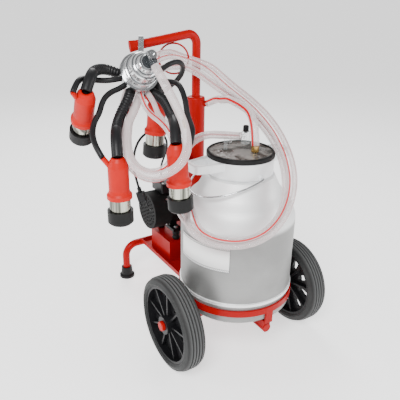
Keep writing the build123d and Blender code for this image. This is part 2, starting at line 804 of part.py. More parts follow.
milk_tube_2_points = [
    (-249, 149, 757), (-265, 130, 743), (-286, 117, 723), (-305, 101, 704), (-322, 76, 692),
    (-336, 48, 685), (-346, 25, 667), (-351, 11, 642),
]
cord_solid("milk_tube_2", milk_tube_2_points, 27)

milk_tube_3_points = [
    (-190, 178, 804), (-181, 178, 794), (-174, 176, 783), (-169, 171, 772), (-167, 165, 760),
    (-168, 160, 748), (-169, 158, 736),
]
cord_solid("milk_tube_3", milk_tube_3_points, 27)

milk_tube_4_points = [
    (-201, 150, 759), (-188, 127, 747), (-183, 99, 740), (-187, 70, 729), (-193, 43, 717),
    (-201, 15, 709), (-213, -12, 705), (-224, -34, 692), (-232, -50, 671),
]
cord_solid("milk_tube_4", milk_tube_4_points, 27)

# soft hoses and the mains cord
milk_hose_points = [
    (-218, 73, 829), (-212, 47, 800), (-207, 21, 771), (-203, -6, 742), (-204, -38, 714),
    (-215, -71, 688), (-226, -90, 660), (-253, -95, 632), (-289, -82, 614), (-320, -53, 618),
    (-332, -18, 638), (-322, 20, 661), (-308, 47, 682), (-289, 78, 703), (-262, 107, 716),
    (-238, 136, 729), (-216, 168, 740), (-192, 199, 752), (-165, 226, 770), (-131, 237, 787),
    (-94, 232, 799), (-60, 212, 800), (-30, 191, 786), (1, 175, 761), (31, 157, 736),
    (54, 129, 716), (65, 92, 700), (68, 53, 683), (72, 16, 663), (76, -19, 639), (76, -52, 613),
    (70, -81, 587), (59, -108, 559), (44, -131, 530), (25, -149, 501), (0, -160, 472),
    (-32, -162, 449), (-67, -155, 431), (-103, -139, 422), (-135, -117, 422), (-162, -88, 430),
    (-179, -55, 442), (-188, -16, 454), (-188, 18, 476), (-176, 43, 505), (-165, 63, 537),
    (-150, 76, 570), (-129, 84, 601), (-97, 88, 627), (-59, 79, 638), (-25, 54, 637), (20, 38, 632),
]
cord_solid("milk_hose", milk_hose_points, 21)

pulse_hose_a_points = [
    (-232, 129, 757), (-232, 108, 726), (-229, 76, 711), (-224, 42, 703), (-218, 11, 687),
    (-213, -8, 655), (-223, -12, 620), (-251, -14, 600), (-285, -6, 599), (-310, 10, 617),
    (-315, 32, 643), (-302, 58, 665), (-287, 86, 683), (-273, 115, 699), (-257, 142, 716),
    (-241, 170, 733), (-220, 195, 751), (-198, 216, 772), (-171, 230, 790), (-141, 240, 805),
    (-109, 242, 819), (-77, 233, 824), (-46, 210, 814), (-14, 190, 799), (8, 170, 781),
    (22, 145, 759), (34, 116, 741), (44, 85, 726), (51, 53, 712), (57, 22, 695), (62, -8, 676),
    (64, -37, 657), (63, -65, 635), (60, -92, 611), (53, -116, 586), (43, -138, 559),
    (27, -155, 532), (7, -167, 505), (-18, -174, 480), (-47, -175, 459), (-78, -167, 444),
    (-110, -153, 436), (-140, -133, 436), (-166, -108, 441), (-183, -80, 453), (-179, -52, 472),
    (-168, -21, 486), (-160, 13, 492), (-154, 51, 490), (-141, 85, 493), (-121, 116, 495),
    (-99, 144, 497), (-78, 173, 498), (-62, 205, 495),
]
cord_solid("pulse_hose_a", pulse_hose_a_points, 14)

pulse_hose_b_points = [
    (-214, 130, 759), (-205, 104, 734), (-213, 74, 714), (-208, 49, 698), (-202, 13, 686),
    (-197, -15, 661), (-199, -21, 623), (-222, -15, 592), (-259, -20, 578), (-293, -8, 583),
    (-313, 18, 600), (-322, 39, 626), (-324, 57, 656), (-308, 84, 674), (-292, 113, 689),
    (-278, 141, 707), (-263, 169, 725), (-244, 195, 744), (-223, 216, 764), (-200, 234, 785),
    (-172, 247, 804), (-141, 251, 822), (-110, 246, 834), (-76, 248, 836), (-50, 236, 824),
    (-22, 214, 814), (10, 180, 802), (28, 156, 781), (41, 128, 761), (51, 98, 745), (60, 66, 730),
    (67, 34, 714), (73, 3, 696), (77, -27, 676), (78, -56, 654), (76, -83, 631), (72, -109, 605),
    (64, -132, 579), (52, -152, 551), (35, -167, 523), (14, -178, 496), (-11, -184, 471),
    (-39, -184, 449), (-71, -177, 433), (-103, -163, 423), (-133, -144, 420), (-160, -121, 422),
    (-185, -99, 431), (-202, -76, 446), (-204, -52, 461), (-181, -22, 472), (-164, 14, 478),
    (-157, 58, 476), (-152, 96, 485), (-133, 127, 495), (-111, 154, 502), (-87, 176, 510),
    (-62, 205, 512),
]
cord_solid("pulse_hose_b", pulse_hose_b_points, 14)

vacuum_hose_points = [
    (26, 214, 686), (33, 191, 698), (33, 166, 707), (26, 139, 710), (29, 112, 717), (28, 82, 715),
    (31, 52, 710), (32, 20, 701), (24, -7, 683), (17, -25, 656), (15, -32, 624),
]
cord_solid("vacuum_hose", vacuum_hose_points, 22)

suction_hose_points = [
    (112, 350, 386), (107, 345, 411), (96, 333, 432), (80, 316, 445), (62, 298, 449),
    (44, 279, 444), (26, 262, 440),
]
cord_solid("suction_hose", suction_hose_points, 18)

power_cord_points = [
    (-60, 350, 424), (-61, 348, 451), (-69, 331, 474), (-76, 310, 495), (-80, 290, 517),
    (-83, 272, 542), (-87, 257, 568), (-99, 246, 594), (-121, 243, 613), (-151, 243, 619),
    (-178, 242, 607), (-198, 238, 584), (-210, 231, 556), (-216, 222, 527), (-214, 214, 498),
    (-208, 209, 468),
]
cord_solid("power_cord", power_cord_points, 7)

pulse_tube_1_points = [
    (-269, 151, 792), (-289, 151, 790), (-308, 158, 788), (-328, 162, 790), (-350, 158, 794),
    (-368, 147, 801), (-384, 133, 800), (-398, 120, 792), (-409, 111, 777),
]
cord_solid("pulse_tube_1", pulse_tube_1_points, 14)

pulse_tube_2_points = [
    (-263, 142, 778), (-282, 138, 770), (-303, 140, 764), (-322, 136, 754), (-336, 127, 739),
    (-347, 115, 722), (-365, 107, 704), (-377, 91, 686), (-384, 68, 672), (-386, 45, 658),
    (-380, 29, 640),
]
cord_solid("pulse_tube_2", pulse_tube_2_points, 14)

pulse_tube_3_points = [
    (-185, 155, 799), (-160, 154, 803), (-135, 152, 818), (-106, 159, 821), (-82, 174, 810),
    (-71, 192, 788), (-76, 210, 764), (-90, 228, 745), (-104, 249, 724), (-132, 262, 714),
    (-161, 259, 715), (-183, 240, 723), (-187, 212, 731), (-183, 193, 733),
]
cord_solid("pulse_tube_3", pulse_tube_3_points, 14)

pulse_tube_4_points = [
    (-189, 143, 780), (-166, 130, 778), (-152, 106, 781), (-149, 79, 778), (-153, 54, 765),
    (-158, 33, 748), (-166, 14, 731), (-174, -7, 716), (-180, -30, 706), (-189, -54, 693),
    (-205, -67, 673),
]
cord_solid("pulse_tube_4", pulse_tube_4_points, 14)

# plug at the free end of the mains cord, hanging from it
plug_top = Vector(*power_cord_points[-1])
plug_axis = (plug_top - Vector(*power_cord_points[-2])).normalized()
plug_plane = Plane(origin=plug_top, x_dir=(0.8, -0.6, 0), z_dir=plug_axis)
plug = extrude(Circle(6), 14)
plug += Pos(0, 0, 14) * extrude(RectangleRounded(26, 17, 6), 26)
pins = [Pos(x, 0, 40) * extrude(Circle(2.4), 19) for x in (-9.5, 9.5)]
save(group([plug_plane.location * piece for piece in [plug] + pins]), "power_plug")
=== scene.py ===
import json
import math

import bpy
from mathutils import Matrix, Vector


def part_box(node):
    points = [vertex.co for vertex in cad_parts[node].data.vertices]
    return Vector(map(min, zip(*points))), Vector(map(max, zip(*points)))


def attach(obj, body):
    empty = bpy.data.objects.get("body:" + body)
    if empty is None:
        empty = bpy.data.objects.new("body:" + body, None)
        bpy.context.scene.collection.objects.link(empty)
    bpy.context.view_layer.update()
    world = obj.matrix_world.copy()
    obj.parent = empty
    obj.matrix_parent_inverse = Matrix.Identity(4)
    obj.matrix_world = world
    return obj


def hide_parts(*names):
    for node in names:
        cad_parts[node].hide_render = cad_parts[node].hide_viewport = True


# Looks of the mobile milking machine. Metres, in the frame of the CAD part:
# origin on the floor under the axle, X along the axle, +Y to the motor, +Z up.

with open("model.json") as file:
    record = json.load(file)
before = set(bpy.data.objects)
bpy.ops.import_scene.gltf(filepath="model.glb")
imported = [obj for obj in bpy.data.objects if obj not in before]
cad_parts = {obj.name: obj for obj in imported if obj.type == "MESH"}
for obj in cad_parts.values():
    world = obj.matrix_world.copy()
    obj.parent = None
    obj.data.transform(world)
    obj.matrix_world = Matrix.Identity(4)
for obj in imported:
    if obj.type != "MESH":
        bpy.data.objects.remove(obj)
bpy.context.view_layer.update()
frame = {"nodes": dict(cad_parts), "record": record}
nodes = frame["nodes"]
scene = bpy.context.scene
print("frame loaded:", len(nodes), "nodes")

# Camera, with its angles in degrees and its lens in millimetres.
view = {
    "place": (-0.77004, -0.99169, 1.00657),
    "yaw": -32.74,
    "pitch": 23.61,
    "roll": 0.89,
    "lens": 44.42,
    "sensor": 36.0,
    "nearest": 0.01,
}


def makeCamera(settings):
    yaw, pitch, roll = (math.radians(settings[k]) for k in ("yaw", "pitch", "roll"))
    right = Vector((math.cos(yaw), math.sin(yaw), 0))
    level = Vector((-math.sin(yaw), math.cos(yaw), 0))
    up = Vector((0, 0, 1))
    ahead = level * math.cos(pitch) - up * math.sin(pitch)
    lift = level * math.sin(pitch) + up * math.cos(pitch)
    rolledRight = right * math.cos(roll) + lift * math.sin(roll)
    rolledUp = lift * math.cos(roll) - right * math.sin(roll)
    data = bpy.data.cameras.new("camera")
    data.lens = settings["lens"]
    data.sensor_width = settings["sensor"]
    data.clip_start = settings["nearest"]
    camera = bpy.data.objects.new("camera", data)
    scene.collection.objects.link(camera)
    turn = Matrix((rolledRight, rolledUp, -ahead)).transposed().to_4x4()
    camera.matrix_world = Matrix.Translation(settings["place"]) @ turn
    scene.camera = camera
    return ahead


forward = makeCamera(view)


studio = {
    "target": (0, 0.15, 0.45),
    "world": 0.42,
    "lights": {
        "key": {"place": (-1.5, -1.4, 2.3), "size": 1.2, "watts": 92},
        "fill": {"place": (1.8, -1.5, 1.4), "size": 1.4, "watts": 26},
        "back": {"place": (0.8, 2.2, 2.2), "size": 1.4, "watts": 46},
        "side": {"place": (-2.2, 0.8, 1.2), "size": 1.0, "watts": 18},
    },
}


def softLight(name, place, size, watts):
    data = bpy.data.lights.new(name, "AREA")
    data.shape = "DISK"
    data.size = size
    data.energy = watts
    light = bpy.data.objects.new(name, data)
    light.location = place
    aim = Vector(studio["target"]) - Vector(place)
    light.rotation_euler = aim.to_track_quat("-Z", "Y").to_euler()
    scene.collection.objects.link(light)


for lightName, lightSettings in studio["lights"].items():
    softLight(lightName, **lightSettings)
world = bpy.data.worlds.new("studio")
world.use_nodes = True
sky = world.node_tree.nodes["Background"]
sky.inputs["Color"].default_value = (1.0, 1.0, 1.0, 1)
sky.inputs["Strength"].default_value = studio["world"]
scene.world = world
print("camera and lights made")


class Value:
    # A shader output that Python arithmetic can be written with.
    def __init__(self, paint, socket):
        self.paint = paint
        self.socket = socket

    def maths(self, operation, *others):
        inputs = dict(enumerate((self, *others)))
        return self.paint.node("ShaderNodeMath", {"operation": operation}, inputs)

    def __add__(self, other):
        return self.maths("ADD", other)

    def __sub__(self, other):
        return self.maths("SUBTRACT", other)

    def __rsub__(self, other):
        return (self * -1) + other

    def __mul__(self, other):
        return self.maths("MULTIPLY", other)

    def __pow__(self, other):
        return self.maths("POWER", other)

    def __gt__(self, other):
        return self.maths("GREATER_THAN", other)

    def __lt__(self, other):
        return self.maths("LESS_THAN", other)

    __radd__ = __add__
    __rmul__ = __mul__


class Paint:
    # A material with a Principled shader and short ways to add nodes to it.
    def __init__(self, name, colour, rough, metal=0.0, coat=0.0, ior=1.5):
        self.material = bpy.data.materials.new(name)
        self.material.use_nodes = True
        self.tree = self.material.node_tree
        self.shader = self.tree.nodes["Principled BSDF"]
        self.put("Base Color", colour)
        self.put("Roughness", rough)
        self.put("Metallic", metal)
        self.put("Coat Weight", coat)
        self.put("IOR", ior)
        self.put("Specular IOR Level", 0.5 if metal else 0.22)  # dull unless metal

    def link(self, target, value):
        if isinstance(value, Value):
            self.tree.links.new(value.socket, target)
        elif isinstance(value, (tuple, list)) and len(value) == 3 and target.type == "RGBA":
            target.default_value = (*value, 1)
        else:
            target.default_value = value

    def put(self, name, value):
        self.link(self.shader.inputs[name], value)

    def node(self, kind, settings, inputs, output=0):
        made = self.tree.nodes.new(kind)
        for name, setting in settings.items():
            if name == "stops":
                for k, (place, colour) in enumerate(setting):
                    ramp = made.color_ramp.elements
                    stop = ramp[k] if k < len(ramp) else ramp.new(place)
                    stop.position = place
                    stop.color = (*colour, 1)
            else:
                setattr(made, name, setting)
        for name, value in inputs.items():
            self.link(made.inputs[name], value)
        return Value(self, made.outputs[output])

    def mix(self, factor, low, high):
        settings = {"data_type": "RGBA"}
        return self.node("ShaderNodeMix", settings, {0: factor, 6: low, 7: high}, 2)

    def place(self):
        return self.node("ShaderNodeTexCoord", {}, {}, "Object")

    def xyz(self, vector):
        first = self.node("ShaderNodeSeparateXYZ", {}, {0: vector})
        return [Value(self, output) for output in first.socket.node.outputs]

    def lay(self):
        # The three numbers of the piece's own UV map; the last is always 0.
        return self.xyz(self.node("ShaderNodeUVMap", {"uv_map": "lay"}, {}))

    def stretched(self, scale):
        return self.node("ShaderNodeMapping", {}, {"Vector": self.place(), "Scale": scale})

    def noise(self, scale, detail=3.0, vector=None):
        inputs = {"Vector": vector or self.place(), "Scale": scale, "Detail": detail}
        return self.node("ShaderNodeTexNoise", {}, inputs, "Fac")

    def ramp(self, value, low, high, outLow=0.0, outHigh=1.0):
        inputs = {0: value, 1: low, 2: high, 3: outLow, 4: outHigh}
        return self.node("ShaderNodeMapRange", {"interpolation_type": "SMOOTHSTEP"}, inputs)

    def bump(self, height, distance, strength=1.0):
        inputs = {"Height": height, "Distance": distance, "Strength": strength}
        self.put("Normal", self.node("ShaderNodeBump", {}, inputs, "Normal"))


paints = {}


def enamel(name, colour, rough, grain):
    paint = Paint(name, colour, rough)
    paint.put("Specular IOR Level", 0.13)
    paint.bump(paint.noise(260.0, 2.0), grain)
    dust = paint.noise(9.0, 5.0)
    paint.put("Roughness", paint.ramp(dust, 0.35, 0.75, rough, rough + 0.12))
    paints[name] = paint


def metal(name, colour, rough, stretch, depth, wear=0.05):
    paint = Paint(name, colour, rough, 1.0)
    lines = paint.noise(1.0, 4.0, paint.stretched(stretch))
    paint.put("Roughness", paint.ramp(lines, 0.3, 0.7, rough - wear, rough + wear))
    paint.bump(lines, depth)
    paints[name] = paint


def mattSkin(name, colour, rough, grain=0.00012):
    paint = Paint(name, colour, rough)
    grime = paint.noise(14.0, 5.0)
    paler = tuple(min(1.0, c * 1.6 + 0.006) for c in colour)
    paint.put("Base Color", paint.mix(paint.ramp(grime, 0.45, 0.8, 0.0, 0.6), colour, paler))
    paint.bump(paint.noise(420.0, 2.0), grain)
    paints[name] = paint


enamel("red_paint", (0.34, 0.0005, 0.001), 0.30, 0.00006)
enamel("motor_black", (0.004, 0.004, 0.004), 0.30, 0.00008)
enamel("red_cap", (0.40, 0.001, 0.001), 0.34, 0.00003)
metal("steel", (0.62, 0.62, 0.63), 0.30, (300, 300, 300), 0.00002)
metal("bolt", (0.55, 0.55, 0.56), 0.34, (400, 400, 400), 0.00003)
metal("claw_steel", (0.50, 0.51, 0.52), 0.18, (40, 40, 900), 0.00002, 0.04)
metal("brass", (0.66, 0.42, 0.13), 0.28, (300, 300, 300), 0.00003)
mattSkin("black_rubber", (0.005, 0.005, 0.005), 0.50)
mattSkin("black_hose", (0.010, 0.010, 0.011), 0.40)
mattSkin("wheel_plastic", (0.006, 0.006, 0.007), 0.42, 0.00008)
mattSkin("black_plastic", (0.005, 0.005, 0.006), 0.36, 0.00006)
mattSkin("cowl_black", (0.003, 0.003, 0.003), 0.70, 0.00004)
mattSkin("copper", (0.30, 0.10, 0.03), 0.45)


def canAluminium():
    # Turned grain round the can, softer on the shoulder and the bead, which also carry a painted
    # pale reflection in their colour.
    paint = Paint("can_aluminium", (0.72, 0.73, 0.74), 0.44, 0.72)
    z = paint.xyz(paint.place())[2]
    rings = paint.noise(1.0, 5.0, paint.stretched((6, 6, 1100)))
    shoulder = paint.ramp(z, 0.412, 0.432)
    cloud = paint.noise(7.0, 4.0)
    rough = paint.ramp(rings, 0.3, 0.7, 0.38, 0.48) + cloud * 0.10 + shoulder * 0.12
    paint.put("Roughness", rough)
    body = paint.mix(paint.ramp(cloud, 0.35, 0.7), (0.25, 0.25, 0.245), (0.33, 0.33, 0.325))
    bead = paint.ramp((z - 0.218).maths("ABSOLUTE"), 0.007, 0.004)
    # Painted reflection: the shoulder and the bead get a near-white colour in place of the bright
    # surroundings mirrored there.
    paint.put("Base Color", paint.mix(shoulder.maths("MAXIMUM", bead), body, (0.93, 0.94, 0.94)))
    paint.bump(rings, 0.00005)
    paints["can_aluminium"] = paint


def collarCast():
    # Pale cast metal with a fine skin and a little grey handling wear.
    paint = Paint("collar_cast", (0.72, 0.73, 0.73), 0.42, 0.35)
    cloud = paint.noise(22.0, 5.0)
    handled = paint.ramp(cloud, 0.4, 0.75)
    paint.put("Base Color", paint.mix(handled, (0.90, 0.92, 0.93), (0.76, 0.78, 0.79)))
    paint.bump(paint.noise(500.0, 2.0), 0.00010)
    paints["collar_cast"] = paint


def tyreRubber(centreHeight, sideRadius, blend, rings):
    # Dark moulded sidewalls with concentric rings, and a dusty, paler tread.
    paint = Paint("tyre", (0.02, 0.02, 0.021), 0.62)
    y, z = paint.xyz(paint.place())[1:]
    up = z - centreHeight
    radius = (y * y + up * up) ** 0.5
    side = paint.ramp(radius, sideRadius, sideRadius - blend)
    dust = paint.noise(18.0, 6.0)
    grey = paint.mix(paint.ramp(dust, 0.3, 0.75), (0.020, 0.021, 0.021), (0.036, 0.037, 0.037))
    outside = paint.ramp(radius, sideRadius, sideRadius + blend)
    tread = paint.mix(outside, (0.02, 0.02, 0.02), (0.075, 0.077, 0.077))
    paint.put("Base Color", paint.mix(side, tread, grey))
    ripple = (radius * rings).maths("SINE") * side
    paint.bump(ripple + dust * 0.6, 0.00018)
    paints["tyre"] = paint


def clearPlastic(name, colour, alphaFlat, alphaEdge, rough, stripe=None):
    # Clear walls look denser where the surface turns away; a hose may carry a thin line.
    paint = Paint(name, colour, rough, 0.0, 0.2, 1.45)
    facing = paint.node("ShaderNodeLayerWeight", {}, {"Blend": 0.45}, "Facing")
    alpha = paint.ramp(facing, 0.05, 0.85, alphaFlat, alphaEdge)
    if stripe:
        u = paint.lay()[0]
        off = (u - 0.5).maths("ABSOLUTE")
        line = off > (0.5 - stripe["width"])
        paint.put("Base Color", paint.mix(line, colour, stripe["colour"]))
        alpha = alpha.maths("MAXIMUM", line * 0.92)
    paint.put("Alpha", alpha)
    paints[name] = paint


def sleeveRed():
    # Orange-red moulded sleeve with a faint matt skin.
    paint = Paint("sleeve_red", (0.46, 0.003, 0.000), 0.44)
    worn = paint.ramp(paint.noise(16.0, 4.0), 0.4, 0.8)
    paint.put("Base Color", paint.mix(worn, (0.50, 0.004, 0.000), (0.38, 0.002, 0.000)))
    paint.bump(paint.noise(350.0, 2.0), 0.00006)
    paints["sleeve_red"] = paint


def labelPaper(width, height, band, edge, hatch):
    # Blank white label: a grey outline, and a diagonal hatch along the top and the bottom.
    paint = Paint("label", (0.80, 0.80, 0.79), 0.45, 0.0, 0.1)
    u, v = paint.lay()[:2]
    fromMiddle = (v - height / 2).maths("ABSOLUTE")
    inBand = fromMiddle > (height / 2 - band)
    stripes = ((u + v) * (1 / hatch)).maths("FRACT") > 0.5
    sideways = (u - width / 2).maths("ABSOLUTE") > (width / 2 - edge)
    lengthways = fromMiddle > (height / 2 - edge)
    bandLine = (fromMiddle - (height / 2 - band)).maths("ABSOLUTE") < edge / 2
    mask = (inBand * stripes * 0.45).maths("MAXIMUM", sideways.maths("MAXIMUM", lengthways))
    mask = mask.maths("MAXIMUM", bandLine)
    paint.put("Base Color", paint.mix(mask, (0.97, 0.97, 0.96), (0.16, 0.17, 0.18)))
    paints["label"] = paint


def bandSteel():
    # Polished bands with a painted reflection: dark and bright upright stripes in their colour.
    paint = Paint("band_steel", (0.6, 0.6, 0.57), 0.16, 1.0)
    uprights = paint.noise(1.0, 2.0, paint.stretched((75, 75, 2)))
    paintedReflectionStreak = paint.ramp(uprights, 0.42, 0.58)
    # Painted reflection: dark and bright vertical stripes stand in for the surroundings mirrored
    # by the bands.
    paint.put("Base Color", paint.mix(paintedReflectionStreak, (0.10, 0.10, 0.085), (0.52, 0.52, 0.44)))
    paint.put("Roughness", paint.ramp(uprights, 0.3, 0.7, 0.12, 0.24))
    paints["band_steel"] = paint


def lidGlass():
    # Clear lid over dark fittings: smoky patches with a warm tint.
    paint = Paint("lid_glass", (0.2, 0.2, 0.2), 0.12)
    patches = paint.ramp(paint.noise(26.0, 3.0), 0.40, 0.60)
    paint.put("Base Color", paint.mix(patches, (0.05, 0.042, 0.035), (0.34, 0.32, 0.30)))
    paint.put("Alpha", paint.ramp(patches, 0.0, 1.0, 0.86, 0.62))
    paints["lid_glass"] = paint


def clawBowl(settings):
    # Clear turned bowl: bright concentric turned rings round a dark centre; the bright rings are
    # painted highlight.
    paint = Paint("claw_bowl", (0.6, 0.6, 0.6), 0.12, 0.75)
    centre, axis = settings["centre"], settings["axis"]
    vector = "ShaderNodeVectorMath"
    away = paint.node(vector, {"operation": "SUBTRACT"}, {0: paint.place(), 1: centre})
    height = paint.node(vector, {"operation": "DOT_PRODUCT"}, {0: away, 1: axis}, "Value")
    length = paint.node(vector, {"operation": "LENGTH"}, {0: away}, "Value")
    radius = (length * length - height * height).maths("MAXIMUM", 0.0) ** 0.5
    wave = ((radius * settings["rings"]).maths("SINE") * 0.5) + 0.5
    rings = paint.ramp(wave, 0.25, 0.75)
    # Painted highlight: bright bands on the turned relief, put into the bowl's own colour.
    paintedStepHighlights = paint.mix(rings, (0.20, 0.21, 0.22), (0.86, 0.87, 0.88))
    core, blend = settings["core"], settings["blend"]
    rim = paint.ramp(radius, core - blend, core + blend)
    paint.put("Base Color", paint.mix(rim, (0.045, 0.05, 0.055), paintedStepHighlights))
    paint.put("Metallic", rim * 0.75)
    paint.put("Alpha", paint.ramp(rim, 0.0, 1.0, 0.70, 0.94))
    paint.bump(wave, 0.0006)
    paints["claw_bowl"] = paint


bandSteel()
lidGlass()
bowl = {
    "centre": (-0.227, 0.142, 0.803),
    "axis": (0, -0.848, 0.530),
    "rings": 900.0,
    "core": 0.017,
    "blend": 0.002,
}
clawBowl(bowl)
canAluminium()
collarCast()
tyreRubber(centreHeight=0.136, sideRadius=0.131, blend=0.005, rings=1400.0)
sleeveRed()
clearPlastic("clear", (0.62, 0.66, 0.66), 0.10, 0.55, 0.10)
redLine = {"width": 0.045, "colour": (0.62, 0.006, 0.010)}
clearPlastic("clear_hose", (0.80, 0.72, 0.72), 0.28, 0.86, 0.16, redLine)
print("materials made")


def meshPiece(name, vertices, faces, uvs, slotName):
    # A smooth mesh on the chassis, with one UV corner for each corner of its faces.
    mesh = bpy.data.meshes.new(name)
    mesh.from_pydata(vertices, [], faces)
    layer = mesh.uv_layers.new(name="lay")
    flat = [uv for face in uvs for uv in face]
    for loop, uv in zip(layer.data, flat):
        loop.uv = uv
    mesh.polygons.foreach_set("use_smooth", [True] * len(mesh.polygons))
    mesh.materials.append(paints[slotName].material)
    piece = bpy.data.objects.new(name, mesh)
    scene.collection.objects.link(piece)
    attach(piece, "chassis")
    return piece


def smoothLine(points, fineness):
    # Points along the NURBS spline that has these control points.
    data = bpy.data.curves.new("line", "CURVE")
    data.dimensions = "3D"
    data.resolution_u = fineness
    spline = data.splines.new("NURBS")
    spline.points.add(len(points) - 1)
    for control, place in zip(spline.points, points):
        control.co = (*place, 1)
    spline.order_u = 3
    spline.use_endpoint_u = True
    holder = bpy.data.objects.new("line", data)
    scene.collection.objects.link(holder)
    shaped = holder.evaluated_get(bpy.context.evaluated_depsgraph_get())
    drawn = bpy.data.meshes.new_from_object(shaped)
    line = [vertex.co.copy() for vertex in drawn.vertices]
    bpy.data.objects.remove(holder)
    bpy.data.curves.remove(data)
    bpy.data.meshes.remove(drawn)
    return line


def walkFrames(line, aim):
    # Frames carried along the line without twist; the first looks towards aim.
    frames = []
    across = aim
    for k, place in enumerate(line):
        ahead = (line[min(k + 1, len(line) - 1)] - line[max(k - 1, 0)]).normalized()
        across = (across - ahead * across.dot(ahead)).normalized()
        frames.append((place, across, ahead.cross(across)))
    return frames


def hollowTube(name, line, aim, radiusAt, wall, sides, slotName):
    # Outer and inner wall joined at both ends, with u round the tube and v along it.
    frames = walkFrames(line, aim)
    along = [0.0]
    for a, b in zip(line, line[1:]):
        along.append(along[-1] + (b - a).length)
    vertices = []
    for inset in (0.0, wall):
        for (place, across, beside), v in zip(frames, along):
            radius = radiusAt(v, along[-1]) - inset
            for k in range(sides):
                angle = 2 * math.pi * k / sides
                spoke = across * math.cos(angle) + beside * math.sin(angle)
                vertices.append(place + spoke * radius)
    rings = len(line)
    inner = rings * sides
    faces = []
    uvs = []

    def quad(corners, lay):
        faces.append(corners)
        uvs.append(lay)

    for r in range(rings):
        for k in range(sides):
            n = (k + 1) % sides
            u0, u1 = k / sides, (k + 1) / sides
            if r < rings - 1:
                a, b = r * sides, (r + 1) * sides
                lay = [(u0, along[r]), (u1, along[r]), (u1, along[r + 1]), (u0, along[r + 1])]
                quad((a + k, a + n, b + n, b + k), lay)
                backward = (inner + b + k, inner + b + n, inner + a + n, inner + a + k)
                quad(backward, [lay[3], lay[2], lay[1], lay[0]])
            if r in (0, rings - 1):
                a = r * sides
                ends = (a + n, a + k, inner + a + k, inner + a + n)
                lay = [(u1, along[r]), (u0, along[r]), (u0, along[r]), (u1, along[r])]
                if r:
                    ends, lay = ends[::-1], lay[::-1]
                quad(ends, lay)
    return meshPiece(name, vertices, faces, uvs, slotName)


